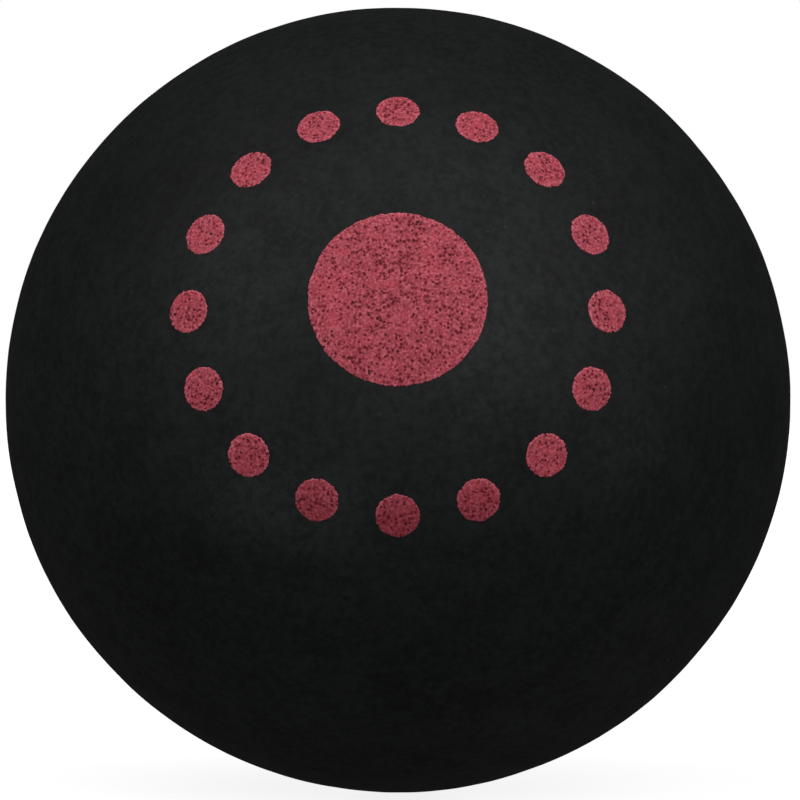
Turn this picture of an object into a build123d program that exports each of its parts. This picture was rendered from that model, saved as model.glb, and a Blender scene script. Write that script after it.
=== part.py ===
# Squash ball: a hollow rubber ball cemented together from two moulded half shells, with a printed speed mark.
# Units are millimetres. The origin is the ball's centre, +Z is up and the printed side faces -Y.
# The half shells meet in the XZ plane, so the seam runs round the ball through its top and bottom.
from build123d import *
import os
from math import asin, cos, degrees, radians, sin

os.makedirs("parts", exist_ok=True)

# Ball and wall
BALL_DIAMETER = 42.4
WALL_THICKNESS = 4.5

# Cemented seam
CEMENT_THICKNESS = 0.1
RIM_EDGE_BREAK = 0.06
RIM_INNER_BEVEL = 0.6
CEMENT_BEAD_HEIGHT = 0.35

# Printed speed mark: its dots and the ring that they stand on are measured over the ball's surface.
# The ink lies on the tips of the buffed nap, just clear of the smooth sphere under it.
INK_THICKNESS = 0.05
INK_SEAT_CLEARANCE = 0.02
PRINT_ELEVATION = 14.0
SPEED_DOT_DIAMETER = 9.0
RING_RADIUS = 11.0
RING_DOT_DIAMETER = 2.2
RING_DOT_COUNT = 16

# A section is drawn on a half plane through an axis: X is the distance from that axis, Y runs along it.
centre = (0, 0)
pole_angle = 90
outer_radius = BALL_DIAMETER / 2
inner_radius = outer_radius - WALL_THICKNESS
rim_depth = CEMENT_THICKNESS / 2


def section_angle(radius, depth):
    """Angle above the seam plane of the section point on a sphere of this radius, at this depth."""
    return degrees(asin(depth / radius))


def section_point(radius, depth):
    """Section point on a sphere of this radius, at this depth behind the seam plane."""
    angle = radians(section_angle(radius, depth))
    return (radius * cos(angle), depth)


def front_of(point):
    """The same section point on the other side of the seam plane."""
    return (point[0], -point[1])


# The rim's corners: its outer edge is broken, which leaves the hairline seam, and its inner edge is bevelled.
outer_shoulder_depth = rim_depth + RIM_EDGE_BREAK
inner_shoulder_depth = rim_depth + RIM_INNER_BEVEL
outer_lip = (section_point(outer_radius, rim_depth)[0] - RIM_EDGE_BREAK, rim_depth)
inner_lip = (section_point(inner_radius, rim_depth)[0] + RIM_INNER_BEVEL, rim_depth)
inner_shoulder = section_point(inner_radius, inner_shoulder_depth)

# Rear half shell: a moulded cup, turned from its wall's section
with BuildPart() as rear_half_shell:
    with BuildSketch(Plane.XY):
        with BuildLine():
            outer_angle = section_angle(outer_radius, outer_shoulder_depth)
            inner_angle = section_angle(inner_radius, inner_shoulder_depth)
            outer_wall = CenterArc(centre, outer_radius, outer_angle, pole_angle - outer_angle)
            inner_wall = CenterArc(centre, inner_radius, inner_angle, pole_angle - inner_angle)
            Line(outer_wall @ 1, inner_wall @ 1)
            Polyline(inner_wall @ 0, inner_lip, outer_lip, outer_wall @ 0)
        make_face()
    revolve(axis=Axis.Y)

# Front half shell: the same moulding turned half round, so that the rims face each other
with BuildPart() as front_half_shell:
    add(rear_half_shell.part, rotation=(0, 0, 180))

# Seam cement: the film between the rims, thickened in the bevels to a bead that is squeezed into the chamber
with BuildPart() as seam_cement:
    with BuildSketch(Plane.XY):
        with BuildLine():
            rear_side = Polyline(inner_shoulder, inner_lip, outer_lip)
            front_side = Polyline(front_of(inner_shoulder), front_of(inner_lip), front_of(outer_lip))
            Line(rear_side @ 1, front_side @ 1)
            SagittaArc(front_side @ 0, rear_side @ 0, CEMENT_BEAD_HEIGHT)
        make_face()
    revolve(axis=Axis.Y)

# Printed mark: its axis leaves the ball's centre through the middle of the mark
mark_elevation = radians(PRINT_ELEVATION)
mark_axis = Axis((0, 0, 0), (0, -cos(mark_elevation), sin(mark_elevation)))
ring_tilt = degrees(RING_RADIUS / outer_radius)
ring_step = 360 / RING_DOT_COUNT
top_of_ring = mark_axis.direction.rotate(Axis.X, -ring_tilt)


def ink_section(direction, diameter):
    """Section of a round film of ink on the ball's surface, on a plane through the dot's own axis."""
    seat_radius = outer_radius + INK_SEAT_CLEARANCE
    spread = degrees(diameter / 2 / outer_radius)
    across = direction.cross(Vector(0, 0, 1))
    with BuildSketch(Plane(origin=(0, 0, 0), x_dir=across, y_dir=direction)) as section:
        with BuildLine():
            underside = CenterArc(centre, seat_radius, pole_angle - spread, spread)
            face = CenterArc(centre, seat_radius + INK_THICKNESS, pole_angle - spread, spread)
            Line(underside @ 0, face @ 0)
            Line(underside @ 1, face @ 1)
        make_face()
    return section.sketch


# Speed dot: the large dot in the middle of the mark
with BuildPart() as speed_dot:
    revolve(ink_section(mark_axis.direction, SPEED_DOT_DIAMETER), axis=mark_axis)

# Ring dots: small dots evenly spaced round the speed dot, the first one at the top
with BuildPart() as ring_dots:
    for step in range(RING_DOT_COUNT):
        dot_direction = top_of_ring.rotate(mark_axis, step * ring_step)
        revolve(ink_section(dot_direction, RING_DOT_DIAMETER), axis=Axis((0, 0, 0), dot_direction))

front_half_shell.part.label = "front_half_shell"
rear_half_shell.part.label = "rear_half_shell"
seam_cement.part.label = "seam_cement"
speed_dot.part.label = "speed_dot"
ring_dots.part.label = "ring_dots"

export_step(front_half_shell.part, "parts/front_half_shell.step")
export_step(rear_half_shell.part, "parts/rear_half_shell.step")
export_step(seam_cement.part, "parts/seam_cement.step")
export_step(speed_dot.part, "parts/speed_dot.step")
export_step(ring_dots.part, "parts/ring_dots.step")
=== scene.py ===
# Squash ball, dressed for the camera: buffed rubber half shells, a cemented seam and a printed speed mark.
from math import asin, cos, hypot, pi, radians, sin, sqrt

import bpy
import numpy as np
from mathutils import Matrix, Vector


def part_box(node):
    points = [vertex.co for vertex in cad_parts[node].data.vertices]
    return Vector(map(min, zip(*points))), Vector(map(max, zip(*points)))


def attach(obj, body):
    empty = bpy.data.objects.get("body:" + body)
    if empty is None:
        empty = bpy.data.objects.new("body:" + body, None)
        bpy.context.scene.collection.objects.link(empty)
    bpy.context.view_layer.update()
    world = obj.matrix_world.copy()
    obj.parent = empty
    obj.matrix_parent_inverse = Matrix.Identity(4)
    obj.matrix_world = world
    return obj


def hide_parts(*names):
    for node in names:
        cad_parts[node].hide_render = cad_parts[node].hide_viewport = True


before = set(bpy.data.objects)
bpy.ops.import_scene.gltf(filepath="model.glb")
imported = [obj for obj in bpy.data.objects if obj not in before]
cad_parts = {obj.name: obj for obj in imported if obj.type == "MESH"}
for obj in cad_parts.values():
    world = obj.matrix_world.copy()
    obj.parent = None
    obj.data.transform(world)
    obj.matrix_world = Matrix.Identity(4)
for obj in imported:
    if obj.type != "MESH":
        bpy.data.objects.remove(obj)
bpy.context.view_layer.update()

# Sizes in metres. Those of the half shells and the seam are read from the solids.
MM = 0.001
rear_low, rear_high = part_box("rear_half_shell")
cement_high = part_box("seam_cement")[1]
outer_radius = rear_high.y
rim_depth = rear_low.y
lip_radius = cement_high.x
bevel_depth = cement_high.y
edge_break = sqrt(outer_radius**2 - rim_depth**2) - lip_radius
WALL_THICKNESS = 4.5 * MM
inner_radius = outer_radius - WALL_THICKNESS
inner_lip_radius = sqrt(inner_radius**2 - rim_depth**2) + bevel_depth - rim_depth

# The cement's outer end stands in the groove as a share of the groove's depth, with a rounded crown.
CEMENT_FILL = 0.62
CEMENT_FILL_WANDER = 0.2
CEMENT_FILL_ORDERS = (3, 140)
CEMENT_CROWN_DROP = 0.35
CEMENT_CROWN_REACH = 0.45

# The bead inside the chamber, with its height as shares of the full one
BEAD_HEIGHT = 0.35 * MM
BEAD_FILL = 0.85
BEAD_FILL_WANDER = 0.15
BEAD_ORDERS = (2, 60)

# The printed mark, measured over the ball's surface
MARK_ELEVATION = radians(14)
SPEED_DOT_DIAMETER = 9.0 * MM
RING_RADIUS = 11.0 * MM
RING_DOT_DIAMETER = 2.2 * MM
RING_DOT_COUNT = 16

# The ink film, which thins towards its ragged border
INK_THICKNESS = 0.028 * MM
INK_SINK = 0.01 * MM
INK_BORDER_SHARE = 0.35
INK_BORDER_WIDTH = 0.12 * MM
INK_BORDER_WANDER = 0.05 * MM
INK_BORDER_POWER = 8
INK_BORDER_LOWEST_ORDER = 5

# Mesh density
SHELL_GRID = 241
SHELL_INSIDE_RINGS = 14
SHOULDER_STEPS = 4
SEAM_STEPS = 960
CROWN_STEPS = 7
BEAD_STEPS = 9
SPEED_DOT_GRID = 161
RING_DOT_GRID = 45

# Seeds of the random draws
LONG_WAVE_SEED = 11
SHORT_WAVE_SEED = 12
CEMENT_FILL_SEED = 21
BEAD_SEED = 22
SPEED_DOT_SEED = 31
RING_DOT_SEED = 40

# Where the ball stands in the photograph, in pixels
PHOTO_SIDE = 800
BALL_PIXEL_X = 397.9
BALL_PIXEL_Y = 400.0
BALL_PIXEL_RADIUS = 392.6
LENS = 200
SENSOR = 36


def wave_band(seed, count, shortest, longest, height):
    """Plane waves in random directions, as wave vectors, phases and one amplitude.

    A wave vector is a unit vector times 2 pi over the wave's length. The amplitude is the wanted rms height
    times the root of 2 over the count.
    """
    draw = np.random.default_rng(seed)
    heading = draw.normal(size=(count, 3))
    heading /= np.linalg.norm(heading, axis=1, keepdims=True)
    length = draw.uniform(shortest, longest, size=(count, 1))
    phase = draw.uniform(0, 2 * pi, size=count)
    return heading * 2 * pi / length, phase, height * sqrt(2 / count)


# The rubber's relief: the unevenness that moulding and buffing leave, and the coarser end of the nap
RELIEF_BANDS = [
    wave_band(LONG_WAVE_SEED, 40, 4.0 * MM, 11.0 * MM, 0.012 * MM),
    wave_band(SHORT_WAVE_SEED, 90, 1.0 * MM, 2.4 * MM, 0.0028 * MM),
]


def surface_radius(direction):
    """Radius of the buffed rubber along unit vectors.

    It is the ball's radius plus, for every plane wave of the relief, its amplitude times the cosine of the
    point times the wave vector plus the phase.
    """
    point = direction * outer_radius
    radius = np.full(direction.shape[:-1], outer_radius)
    for vectors, phase, height in RELIEF_BANDS:
        radius += height * np.cos(point @ vectors.T + phase).sum(axis=-1)
    return radius


def disc_grid(count):
    """A square grid laid on the unit disc: each of its square rings becomes a circle of evenly spaced points.

    The larger coordinate is the radius, and the smaller one's share of it is the angle over an eighth turn.
    """
    side = np.linspace(-1, 1, count)
    a, b = np.meshgrid(side, side)
    lying = np.abs(a) > np.abs(b)
    reach = np.where(lying, a, b)
    share = np.divide(np.where(lying, b, a), reach, out=np.zeros_like(a), where=reach != 0)
    angle = np.where(lying, share, 2 - share) * pi / 4
    return reach * np.cos(angle), reach * np.sin(angle)


def grid_faces(count):
    """Corner numbers of a square grid's quads, row by row."""
    corner = np.arange(count * count).reshape(count, count)
    quads = [corner[:-1, :-1], corner[:-1, 1:], corner[1:, 1:], corner[1:, :-1]]
    return np.stack(quads, -1).reshape(-1, 4)


def grid_border(count):
    """Corner numbers along a square grid's border, once round."""
    corner = np.arange(count * count).reshape(count, count)
    return np.concatenate([corner[0, :-1], corner[:-1, -1], corner[-1, :0:-1], corner[:0:-1, 0]])


def strips(loops):
    """Quads between each closed loop of corner numbers and the next, from an array with one loop a row."""
    here, there = loops[:-1], loops[1:]
    return np.stack([here, np.roll(here, -1, 1), np.roll(there, -1, 1), there], -1).reshape(-1, 4)


def enclosed_volume(points, faces):
    """Six times the volume inside a closed mesh: the sum of each triangle's corners' triple product."""
    total = 0.0
    for group in faces:
        first = points[group[:, 0]]
        for step in range(1, group.shape[1] - 1):
            spread = np.cross(points[group[:, step]], points[group[:, step + 1]])
            total += np.einsum("ij,ij->", first, spread)
    return total


def make_piece(name, points, faces, finish, node, slot, layers=()):
    """A closed mesh from corner points and groups of quads or triangles, turned to face outwards."""
    if enclosed_volume(points, faces) < 0:
        faces = [group[:, ::-1] for group in faces]
    corners = np.concatenate([group.ravel() for group in faces])
    sizes = np.concatenate([np.full(len(group), group.shape[1]) for group in faces])
    mesh = bpy.data.meshes.new(name)
    mesh.vertices.add(len(points))
    mesh.vertices.foreach_set("co", points.astype(np.float32).ravel())
    mesh.loops.add(len(corners))
    mesh.loops.foreach_set("vertex_index", corners.astype(np.int32))
    mesh.polygons.add(len(sizes))
    mesh.polygons.foreach_set("loop_start", (np.cumsum(sizes) - sizes).astype(np.int32))
    mesh.update(calc_edges=True)
    mesh.validate()
    mesh.shade_smooth()
    for layer, values in layers:
        attribute = mesh.attributes.new(layer, "FLOAT", "POINT")
        attribute.data.foreach_set("value", values.astype(np.float32))
    mesh.materials.append(finish)
    piece = bpy.data.objects.new(name, mesh)
    bpy.context.scene.collection.objects.link(piece)
    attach(piece, "root")
    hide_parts(node)


def half_shell(facing):
    """A moulded cup about the Y axis, its pole on the side that facing (1 rear, -1 front) says.

    The outside is a disc grid spread evenly over the half ball: disc radius r goes to polar angle
    2 asin(r sin(a / 2)), where a is the angle of the rim's shoulder. From its border, rings follow the
    wall's section: the rounded shoulder, over which the relief fades out as a cosine, the rim, the inner
    bevel and the inner sphere, closed by a fan at the inner pole.
    """
    across, along = disc_grid(SHELL_GRID)
    shoulder_depth = rim_depth + edge_break
    half_spread = sin((pi / 2 - asin(shoulder_depth / outer_radius)) / 2)
    polar = 2 * np.arcsin(np.clip(np.hypot(across, along) * half_spread, 0, 1))
    turn = np.arctan2(along, across)
    pole = np.array([facing, facing, 1])
    out = np.sin(polar)
    way = np.stack([out * np.cos(turn), np.cos(polar), out * np.sin(turn)], -1) * pole
    outside = (way * surface_radius(way)[..., None]).reshape(-1, 3)

    bend = np.linspace(0, pi / 2, SHOULDER_STEPS + 1)[1:]
    shoulder_radius = lip_radius + edge_break * np.cos(bend)
    shoulder = np.stack([shoulder_radius, shoulder_depth - edge_break * np.sin(bend)], -1)
    climb = np.linspace(asin(bevel_depth / inner_radius), pi / 2, SHELL_INSIDE_RINGS + 1)[:-1]
    inside = np.stack([inner_radius * np.cos(climb), inner_radius * np.sin(climb)], -1)
    section = np.concatenate([shoulder, [[inner_lip_radius, rim_depth]], inside])

    border = grid_border(SHELL_GRID)
    round_rim = turn.ravel()[border]
    ring = np.stack([np.cos(round_rim), np.ones_like(round_rim), np.sin(round_rim)], -1) * pole
    relief = np.linalg.norm(outside[border], axis=1) - outer_radius
    fade = np.zeros((len(section), 1))
    fade[:SHOULDER_STEPS, 0] = np.cos(bend)
    ring_radius = section[:, :1] + fade * relief
    ring_depth = np.broadcast_to(section[:, 1:], ring_radius.shape)
    rings = ring * np.stack([ring_radius, ring_depth, ring_radius], -1)

    ring_corners = len(outside) + np.arange(ring_radius.size).reshape(ring_radius.shape)
    last = ring_corners[-1]
    inner_pole = len(outside) + ring_radius.size
    walls = strips(np.vstack([border, ring_corners]))[:, ::-1]
    fan = np.stack([np.roll(last, -1), last, np.full_like(last, inner_pole)], -1)
    points = np.concatenate([outside, rings.reshape(-1, 3), [[0, facing * inner_radius, 0]]])
    return points, [grid_faces(SHELL_GRID), walls, fan]


def uneven_round(seed, steps, orders):
    """A smooth closed curve between -1 and 1: cosines of whole orders round the circle, fading as they rise.

    Each order's weight is a normal draw over the order's root, and the sum is divided by its largest size.
    """
    draw = np.random.default_rng(seed)
    turn = np.arange(steps) * 2 * pi / steps
    order = np.arange(orders[0], orders[1])[:, None]
    weight = draw.normal(size=order.shape) / np.sqrt(order)
    curve = (weight * np.cos(order * turn + draw.uniform(0, 2 * pi, size=order.shape))).sum(0)
    return curve / np.abs(curve).max()


def seam_cement():
    """The cement's section carried once round the Y axis: film, bevels and inner bead, closed on itself.

    Its outer end fills the groove between the shoulders to a height that wanders round the seam, and so does
    the bead. Across the section, the crown and the bead are both parabolas.
    """
    turn = np.arange(SEAM_STEPS) * 2 * pi / SEAM_STEPS
    flat = np.ones(SEAM_STEPS)
    fill_wander = uneven_round(CEMENT_FILL_SEED, SEAM_STEPS, CEMENT_FILL_ORDERS)
    fill = edge_break * (CEMENT_FILL + CEMENT_FILL_WANDER * fill_wander)
    crown = np.linspace(-1, 1, CROWN_STEPS)[:, None]
    crown_radius = lip_radius + fill * (1 - CEMENT_CROWN_DROP * crown**2)
    crown_depth = crown * (rim_depth + CEMENT_CROWN_REACH * edge_break) * flat
    bead = BEAD_HEIGHT * (BEAD_FILL + BEAD_FILL_WANDER * uneven_round(BEAD_SEED, SEAM_STEPS, BEAD_ORDERS))
    swell = np.linspace(1, -1, BEAD_STEPS)[:, None]
    bead_radius = sqrt(inner_radius**2 - bevel_depth**2) - bead * (1 - swell**2)
    bead_depth = swell * bevel_depth * flat
    radius = np.vstack([crown_radius, lip_radius * flat, inner_lip_radius * flat, bead_radius,
                        inner_lip_radius * flat, lip_radius * flat])
    depth = np.vstack([crown_depth, rim_depth * flat, rim_depth * flat, bead_depth,
                       -rim_depth * flat, -rim_depth * flat])
    points = np.stack([radius * np.cos(turn), depth, radius * np.sin(turn)], -1)
    corners = np.arange(radius.size).reshape(radius.shape)
    return points.reshape(-1, 3), [strips(np.vstack([corners, corners[:1]]))]


def ink_film(direction, diameter, count, seed):
    """A round film of ink on the rubber: a disc grid as upper and under face, and a wall between them.

    A disc point at radius r goes along the surface to r times half the diameter, and near the border, with a
    high power of r, also by an uneven curve round the dot. The upper face stands on the rubber by the film's
    thickness, which falls off towards the border as the root of the distance from it.
    """
    right = np.cross([0, 0, 1], direction)
    right /= np.linalg.norm(right)
    up = np.cross(direction, right)
    across, along = disc_grid(count)
    reach = np.hypot(across, along)
    turn = np.arctan2(along, across)
    border_steps = 4 * (count - 1)
    wander = uneven_round(seed, border_steps, (INK_BORDER_LOWEST_ORDER, border_steps // 4))
    border_turn = np.arange(border_steps + 1) * 2 * pi / border_steps
    ragged = np.interp(turn % (2 * pi), border_turn, np.append(wander, wander[0]))
    arc = reach * diameter / 2 + ragged * reach**INK_BORDER_POWER * INK_BORDER_WANDER
    polar = (arc / outer_radius)[..., None]
    heading = np.cos(turn)[..., None] * right - np.sin(turn)[..., None] * up
    way = np.cos(polar) * np.asarray(direction) + np.sin(polar) * heading
    base = surface_radius(way)
    from_edge = (1 - reach) * diameter / 2
    inwards = np.sqrt(np.clip(from_edge / INK_BORDER_WIDTH, 0, 1))
    rise = INK_THICKNESS * (INK_BORDER_SHARE + (1 - INK_BORDER_SHARE) * inwards)
    upper = (way * (base + rise)[..., None]).reshape(-1, 3)
    under = (way * (base - INK_SINK)[..., None]).reshape(-1, 3)
    border = grid_border(count)
    upper_faces = grid_faces(count)
    under_faces = upper_faces[:, ::-1] + count * count
    wall = strips(np.vstack([border + count * count, border]))
    faces = np.concatenate([upper_faces, under_faces, wall])
    return np.concatenate([upper, under]), faces, np.tile(from_edge.ravel(), 2)


def join_films(films):
    """Several films as one set of points, quads and edge distances, with the corner numbers moved on."""
    points, faces, edges = zip(*films)
    starts = np.cumsum([0] + [len(group) for group in points[:-1]])
    moved = [group + start for group, start in zip(faces, starts)]
    return np.concatenate(points), np.concatenate(moved), np.concatenate(edges)


class Wire:
    """A shader value that takes part in sums: each operator adds one Math node to the same finish."""

    def __init__(self, finish, socket):
        self.finish = finish
        self.socket = socket

    def math(self, operation, left, right):
        return self.finish.node("ShaderNodeMath", {"operation": operation}, {0: left, 1: right})

    def __add__(self, other):
        return self.math("ADD", self, other)

    def __sub__(self, other):
        return self.math("SUBTRACT", self, other)

    def __rsub__(self, other):
        return self.math("SUBTRACT", other, self)

    def __mul__(self, other):
        return self.math("MULTIPLY", self, other)

    def __pow__(self, other):
        return self.math("POWER", self, other)

    __radd__ = __add__
    __rmul__ = __mul__


class Finish:
    """The node tree of a material or a world, and the nodes that the finishes here are made of."""

    def __init__(self, owner):
        owner.use_nodes = True
        self.tree = owner.node_tree
        self.tree.nodes.clear()

    def node(self, kind, settings, sockets, out=0):
        made = self.tree.nodes.new(kind)
        for name, value in settings.items():
            setattr(made, name, value)
        for key, value in sockets.items():
            if isinstance(value, Wire):
                self.tree.links.new(value.socket, made.inputs[key])
            else:
                made.inputs[key].default_value = value
        return Wire(self, made.outputs[out]) if made.outputs else None

    def place(self):
        return self.node("ShaderNodeTexCoord", {}, {}, out="Object")

    def noise(self, place, size, detail=2.0, roughness=0.5):
        sockets = {"Vector": place, "Scale": 1 / size, "Detail": detail, "Roughness": roughness}
        return self.node("ShaderNodeTexNoise", {}, sockets)

    def cells(self, place, size, out="Distance"):
        return self.node("ShaderNodeTexVoronoi", {}, {"Vector": place, "Scale": 1 / size}, out=out)

    def cell_draw(self, place, size):
        """A random number from 0 to 1 for each cell."""
        return self.node("ShaderNodeSeparateColor", {}, {0: self.cells(place, size, out="Color")})

    def step(self, value, low, high):
        """A smooth step from 0 at low to 1 at high."""
        settings = {"interpolation_type": "SMOOTHSTEP"}
        sockets = {"Value": value, "From Min": low, "From Max": high}
        return self.node("ShaderNodeMapRange", settings, sockets)

    def mix(self, low, high, share):
        return self.node("ShaderNodeMix", {"data_type": "RGBA"}, {0: share, 6: low, 7: high}, out=2)

    def shade(self, colour, share):
        """A colour made lighter or darker by a share of itself."""
        return self.node("ShaderNodeVectorMath", {"operation": "SCALE"}, {0: colour, "Scale": share})

    def bump(self, height, distance):
        return self.node("ShaderNodeBump", {}, {"Height": height, "Distance": distance, "Strength": 1.0})

    def surface(self, **sockets):
        named = {name.replace("_", " "): value for name, value in sockets.items()}
        shader = self.node("ShaderNodeBsdfPrincipled", {}, named)
        self.node("ShaderNodeOutputMaterial", {}, {"Surface": shader})


# Buffed rubber: its colours, the sizes of what shows on it, and the height of its nap
BLACK_RUBBER = (0.0059, 0.0067, 0.0066, 1)
DUSTY_RUBBER = (0.0141, 0.0156, 0.0153, 1)
DUST_SPECK = (0.029, 0.0295, 0.029, 1)
NAP_SIZE = 0.13 * MM
NAP_HEIGHT = 0.012 * MM
DUST_GRAIN_SIZE = 0.42 * MM
DUST_CLOUD_SIZE = 3.2 * MM
SPECK_SPACING = 0.9 * MM

# Patches of painted sheen on the printed side, lighter or darker where the lights' reflection is: across, up
# and reach in millimetres, and the share by which each patch lightens or darkens the rubber in the middle
PAINTED_SHEEN_PATCHES = [
    (-7.2, -4.6, 5.0, 0.69),
    (3.5, 3.1, 7.0, 0.70),
    (-12.3, 10.0, 7.0, -0.36),
    (-7.9, 5.0, 5.0, 0.37),
    (11.4, -2.8, 3.5, 0.42),
    (10.3, 9.3, 7.0, -0.29),
    (-6.2, 13.0, 7.0, -0.37),
    (-5.0, -15.8, 7.0, 0.29),
    (16.5, 0.2, 7.0, -0.17),
    (-3.6, -5.8, 3.5, 0.54),
    (-13.5, -7.8, 7.0, -0.22),
    (3.5, 11.0, 2.5, 0.38),
]


def painted_sheen_patch(finish, place, across, up, reach, share):
    """Share of painted sheen that one patch adds: all of it in the middle, down to none over a smooth step.
    """
    middle = (across * MM, -sqrt(outer_radius**2 - (across * MM)**2 - (up * MM)**2), up * MM)
    away = finish.node("ShaderNodeVectorMath", {"operation": "DISTANCE"}, {0: place, 1: middle}, out="Value")
    return share * (1 - finish.step(away, 0, reach * MM))


def buffed_rubber():
    """Black rubber buffed to a fine nap, with a grainy, cloudy bloom of dust, loose specks and patches of
    painted sheen.
    """
    material = bpy.data.materials.new("buffed_rubber")
    finish = Finish(material)
    place = finish.place()
    nap = finish.noise(place, NAP_SIZE, detail=2, roughness=0.6)
    grain = finish.noise(place, DUST_GRAIN_SIZE, detail=2, roughness=0.7)
    cloud = finish.noise(place, DUST_CLOUD_SIZE, detail=6, roughness=0.92)
    bloom = finish.step(cloud + 0.7 * (grain - 0.5), 0.28, 0.72)
    # Painted sheen: patches on the front made lighter or darker, standing in for the shape of the lights'
    # reflection.
    painted_sheen_scale = 1
    for patch in PAINTED_SHEEN_PATCHES:
        painted_sheen_scale = painted_sheen_scale + painted_sheen_patch(finish, place, *patch)
    dust_and_painted_sheen = finish.shade(finish.mix(BLACK_RUBBER, DUSTY_RUBBER, bloom), painted_sheen_scale)
    strength = finish.cell_draw(place, SPECK_SPACING)
    specks = (1 - finish.step(finish.cells(place, SPECK_SPACING), 0.03, 0.13)) * strength**3.5
    colour = finish.mix(dust_and_painted_sheen, DUST_SPECK, specks)
    finish.surface(
        Base_Color=colour,
        Roughness=0.60 - 0.08 * bloom,
        Specular_IOR_Level=0.16,
        Normal=finish.bump(nap, NAP_HEIGHT),
    )
    return material


# Dried cement
BLACK_CEMENT = (0.004, 0.004, 0.004, 1)
BROWN_CEMENT = (0.012, 0.011, 0.0095, 1)
LUMP_SIZE = 0.5 * MM
LUMP_HEIGHT = 0.02 * MM


def rubber_cement():
    """Dried rubber cement, smoother than the rubber and pressed into small lumps."""
    material = bpy.data.materials.new("rubber_cement")
    finish = Finish(material)
    lumps = finish.noise(finish.place(), LUMP_SIZE, detail=3)
    finish.surface(
        Base_Color=finish.mix(BLACK_CEMENT, BROWN_CEMENT, lumps),
        Roughness=0.45 + 0.25 * lumps,
        Specular_IOR_Level=0.4,
        Normal=finish.bump(lumps, LUMP_HEIGHT),
    )
    return material


# Printed ink: its colours, the sizes of what shows on it, the widths of its border zones,
# and the heights between which it turns darker towards the bottom of the mark
RED_INK = (0.41, 0.052, 0.078, 1)
FULL_RED_INK = (0.50, 0.053, 0.084, 1)
PALE_RED_INK = (0.76, 0.171, 0.218, 1)
THIN_RED_INK = (0.146, 0.006, 0.014, 1)
BARE_RUBBER = (0.014, 0.010, 0.010, 1)
INK_PATCH_SIZE = 1.1 * MM
INK_GRAIN_SIZE = 0.13 * MM
INK_GRAIN_HEIGHT = 0.008 * MM
INK_HOLLOW_SPACING = 0.20 * MM
INK_INSIDE = (0.04 * MM, 0.45 * MM)
INK_BORDER = (0.03 * MM, 0.13 * MM)
DARKER_LOW_HEIGHTS = (-8.0 * MM, -2.0 * MM)


def red_ink():
    """Red ink on the rubber's nap, thin in the hollows and missing in the deepest, with pale specks.

    The border is full. Low on the mark the ink turns darker and deeper red, and more hollows show.
    """
    material = bpy.data.materials.new("red_ink")
    finish = Finish(material)
    place = finish.place()
    from_edge = finish.node("ShaderNodeAttribute", {"attribute_name": "from_edge"}, {}, out="Fac")
    inside = finish.step(from_edge, *INK_INSIDE)
    border = 1 - finish.step(from_edge, *INK_BORDER)
    height = finish.node("ShaderNodeSeparateXYZ", {}, {0: place}, out="Z")
    # Darker towards the bottom of the mark: fully below the lower height, not at all above the upper one.
    darker_low = 1 - finish.step(height, *DARKER_LOW_HEIGHTS)
    patch = finish.noise(place, INK_PATCH_SIZE, detail=2)
    grain = finish.noise(place, INK_GRAIN_SIZE, detail=2, roughness=0.6)
    depth = finish.cell_draw(place, INK_HOLLOW_SPACING)
    reach = finish.cells(place, INK_HOLLOW_SPACING) + 0.5 * (grain - 0.5) - 0.10 * inside
    hollow = 1 - finish.step(reach - 0.5 * (patch - 0.5) - 0.06 * darker_low, 0.08, 0.52)
    thin = hollow * finish.step(depth, -0.1, 0.6)
    bare = finish.step(thin, 0.9, 1.0) * finish.step(depth, 0.9, 0.94)
    pale = finish.step(grain, 0.42, 0.70) * (0.95 - 0.2 * inside) + 0.25 * border
    full = finish.mix(RED_INK, FULL_RED_INK, 1 - finish.step(patch, 0.28, 0.52))
    laid = finish.mix(finish.mix(full, PALE_RED_INK, pale), THIN_RED_INK, 0.6 * darker_low)
    ink = finish.mix(laid, THIN_RED_INK, thin)
    finish.surface(
        Base_Color=finish.mix(ink, BARE_RUBBER, bare),
        Roughness=0.6 + 0.15 * thin,
        Specular_IOR_Level=0.2,
        Normal=finish.bump(grain - thin, INK_GRAIN_HEIGHT),
    )
    return material


def mark_direction(tilt, turn):
    """Unit vector of a printed dot: tilted up from the mark's axis, then turned round it."""
    axis = np.array([0, -cos(MARK_ELEVATION), sin(MARK_ELEVATION)])
    up = np.array([0, sin(MARK_ELEVATION), cos(MARK_ELEVATION)])
    right = np.array([1, 0, 0])
    return cos(tilt) * axis + sin(tilt) * (cos(turn) * up + sin(turn) * right)


def dress_ball():
    """All five pieces, each in place of its solid."""
    rubber = buffed_rubber()
    ink = red_ink()
    make_piece("buffed_front_shell", *half_shell(-1), rubber, "front_half_shell", "buffed_rubber")
    make_piece("buffed_rear_shell", *half_shell(1), rubber, "rear_half_shell", "buffed_rubber")
    make_piece("seam_cement_line", *seam_cement(), rubber_cement(), "seam_cement", "rubber_cement")
    middle = mark_direction(0, 0)
    points, faces, edge = ink_film(middle, SPEED_DOT_DIAMETER, SPEED_DOT_GRID, SPEED_DOT_SEED)
    make_piece("speed_dot_ink", points, [faces], ink, "speed_dot", "red_ink", [("from_edge", edge)])
    turns = np.arange(RING_DOT_COUNT) * 2 * pi / RING_DOT_COUNT
    tilt = RING_RADIUS / outer_radius
    films = [ink_film(mark_direction(tilt, turn), RING_DOT_DIAMETER, RING_DOT_GRID, RING_DOT_SEED + number)
             for number, turn in enumerate(turns)]
    points, faces, edge = join_films(films)
    make_piece("ring_dots_ink", points, [faces], ink, "ring_dots", "red_ink", [("from_edge", edge)])


FLOOR_REACH = 4.0
FLOOR_TONE = (0.38, 0.38, 0.38, 1)
FLOOR_GLOW = 0.85
WHITE = (1, 1, 1, 1)


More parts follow.
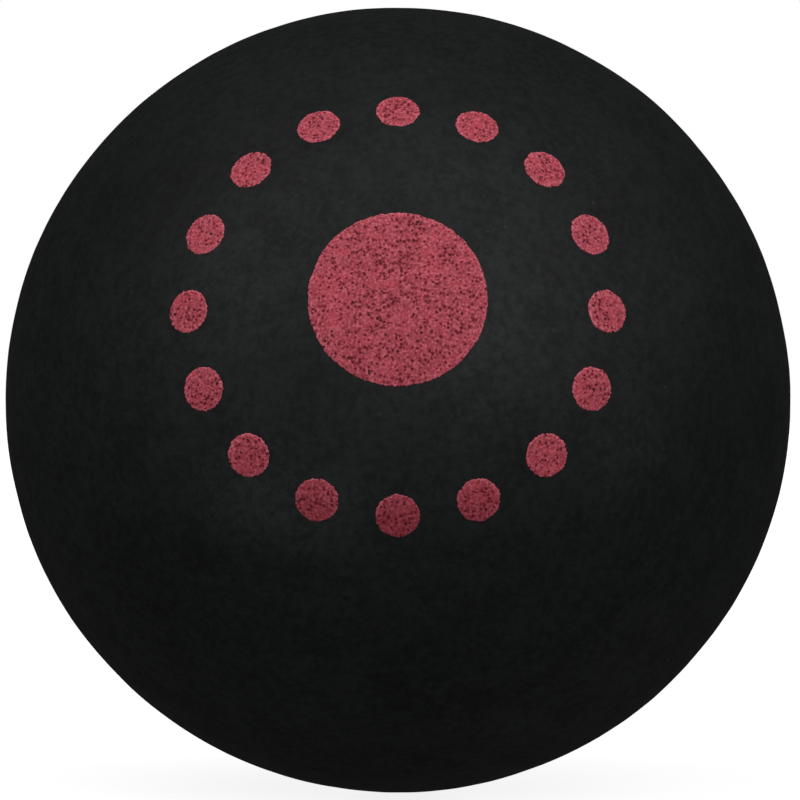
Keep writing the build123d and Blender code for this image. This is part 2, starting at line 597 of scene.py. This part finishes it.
def pale_floor():
    """A wide plain floor under the ball, which glows a little. It neither lights nor shades the ball."""
    corners = [(-FLOOR_REACH, -FLOOR_REACH, -outer_radius), (FLOOR_REACH, -FLOOR_REACH, -outer_radius),
               (FLOOR_REACH, FLOOR_REACH, -outer_radius), (-FLOOR_REACH, FLOOR_REACH, -outer_radius)]
    mesh = bpy.data.meshes.new("floor")
    mesh.from_pydata(corners, [], [(0, 1, 2, 3)])
    material = bpy.data.materials.new("pale_floor")
    Finish(material).surface(
        Base_Color=FLOOR_TONE,
        Roughness=0.9,
        Specular_IOR_Level=0.1,
        Emission_Color=WHITE,
        Emission_Strength=FLOOR_GLOW,
    )
    mesh.materials.append(material)
    floor = bpy.data.objects.new("floor", mesh)
    bpy.context.scene.collection.objects.link(floor)
    floor.visible_diffuse = False
    floor.visible_glossy = False
    floor.visible_shadow = False


# Round lights in the studio's walls, as the ball sees them:
# azimuth, elevation and width in degrees, and brightness
SOFT_LIGHTS = {
    "front_screen": (-10, 31, 100, 0.555),
    "right_panel": (52, 35, 38, 1.32),
    "left_panel": (-50, 52, 24, 1.28),
    "low_left_screen": (-65, -47, 104, 0.066),
    "low_right_panel": (123, -52, 20, 0.12),
}
LIGHT_EDGE = radians(25)
ROOM_BRIGHTNESS = 0.048
REAR_SHARE = 0.45
REAR_WIDTH = radians(8)


def toward(azimuth, elevation):
    """Unit vector from the ball's centre: azimuth turns from the camera's side to the right, elevation up."""
    turn, rise = radians(azimuth), radians(elevation)
    return sin(turn) * cos(rise), -cos(turn) * cos(rise), sin(rise)


def soft_light(finish, way, azimuth, elevation, width, brightness):
    """A round light's brightness along a way: full across its width, then a smooth step over its edge."""
    ways = {0: way, 1: toward(azimuth, elevation)}
    facing = finish.node("ShaderNodeVectorMath", {"operation": "DOT_PRODUCT"}, ways, out="Value")
    half_width = radians(width / 2)
    return brightness * finish.step(facing, cos(half_width + LIGHT_EDGE), cos(half_width))


def studio():
    """A dim room with soft round lights in its walls, which the camera sees as plain white."""
    world = bpy.data.worlds.new("studio")
    bpy.context.scene.world = world
    finish = Finish(world)
    way = finish.node("ShaderNodeTexCoord", {}, {}, out="Generated")
    lit = ROOM_BRIGHTNESS
    for light in SOFT_LIGHTS.values():
        lit = lit + soft_light(finish, way, *light)
    room = finish.node("ShaderNodeBackground", {}, {"Strength": lit})
    white = finish.node("ShaderNodeBackground", {}, {"Color": WHITE, "Strength": 1.0})
    seen = finish.node("ShaderNodeLightPath", {}, {}, out="Is Camera Ray")
    both = finish.node("ShaderNodeMixShader", {}, {0: seen, 1: room, 2: white})
    finish.node("ShaderNodeOutputWorld", {}, {"Surface": both})
    bpy.context.scene.view_settings.view_transform = "Standard"


def rear_light():
    """A narrow far light straight behind the ball, which reaches nothing that the photo's camera sees."""
    light = bpy.data.lights.new("rear_light", "SUN")
    light.energy = pi * REAR_SHARE
    light.angle = REAR_WIDTH
    lamp = bpy.data.objects.new("rear_light", light)
    lamp.rotation_euler = (pi / 2, 0, pi)
    bpy.context.scene.collection.objects.link(lamp)


def photo_camera():
    """A camera level with the ball's centre, as far off as makes its outline the photograph's circle.

    The limb's slope is the view's half slope times the circle's share of the half frame, and the distance
    is the ball's radius over the sine of the limb's angle.
    """
    half_view = SENSOR / 2 / LENS
    half_side = PHOTO_SIDE / 2
    limb = half_view * BALL_PIXEL_RADIUS / half_side
    distance = outer_radius * hypot(1, limb) / limb
    pixel = half_view * distance / half_side
    camera = bpy.data.objects.new("camera", bpy.data.cameras.new("camera"))
    camera.data.lens = LENS
    camera.data.sensor_width = SENSOR
    camera.data.clip_start = distance / 100
    camera.data.clip_end = distance * 100
    camera.location = ((half_side - BALL_PIXEL_X) * pixel, -distance, (BALL_PIXEL_Y - half_side) * pixel)
    camera.rotation_euler = (pi / 2, 0, 0)
    bpy.context.scene.collection.objects.link(camera)
    bpy.context.scene.camera = camera


dress_ball()
pale_floor()
studio()
rear_light()
photo_camera()
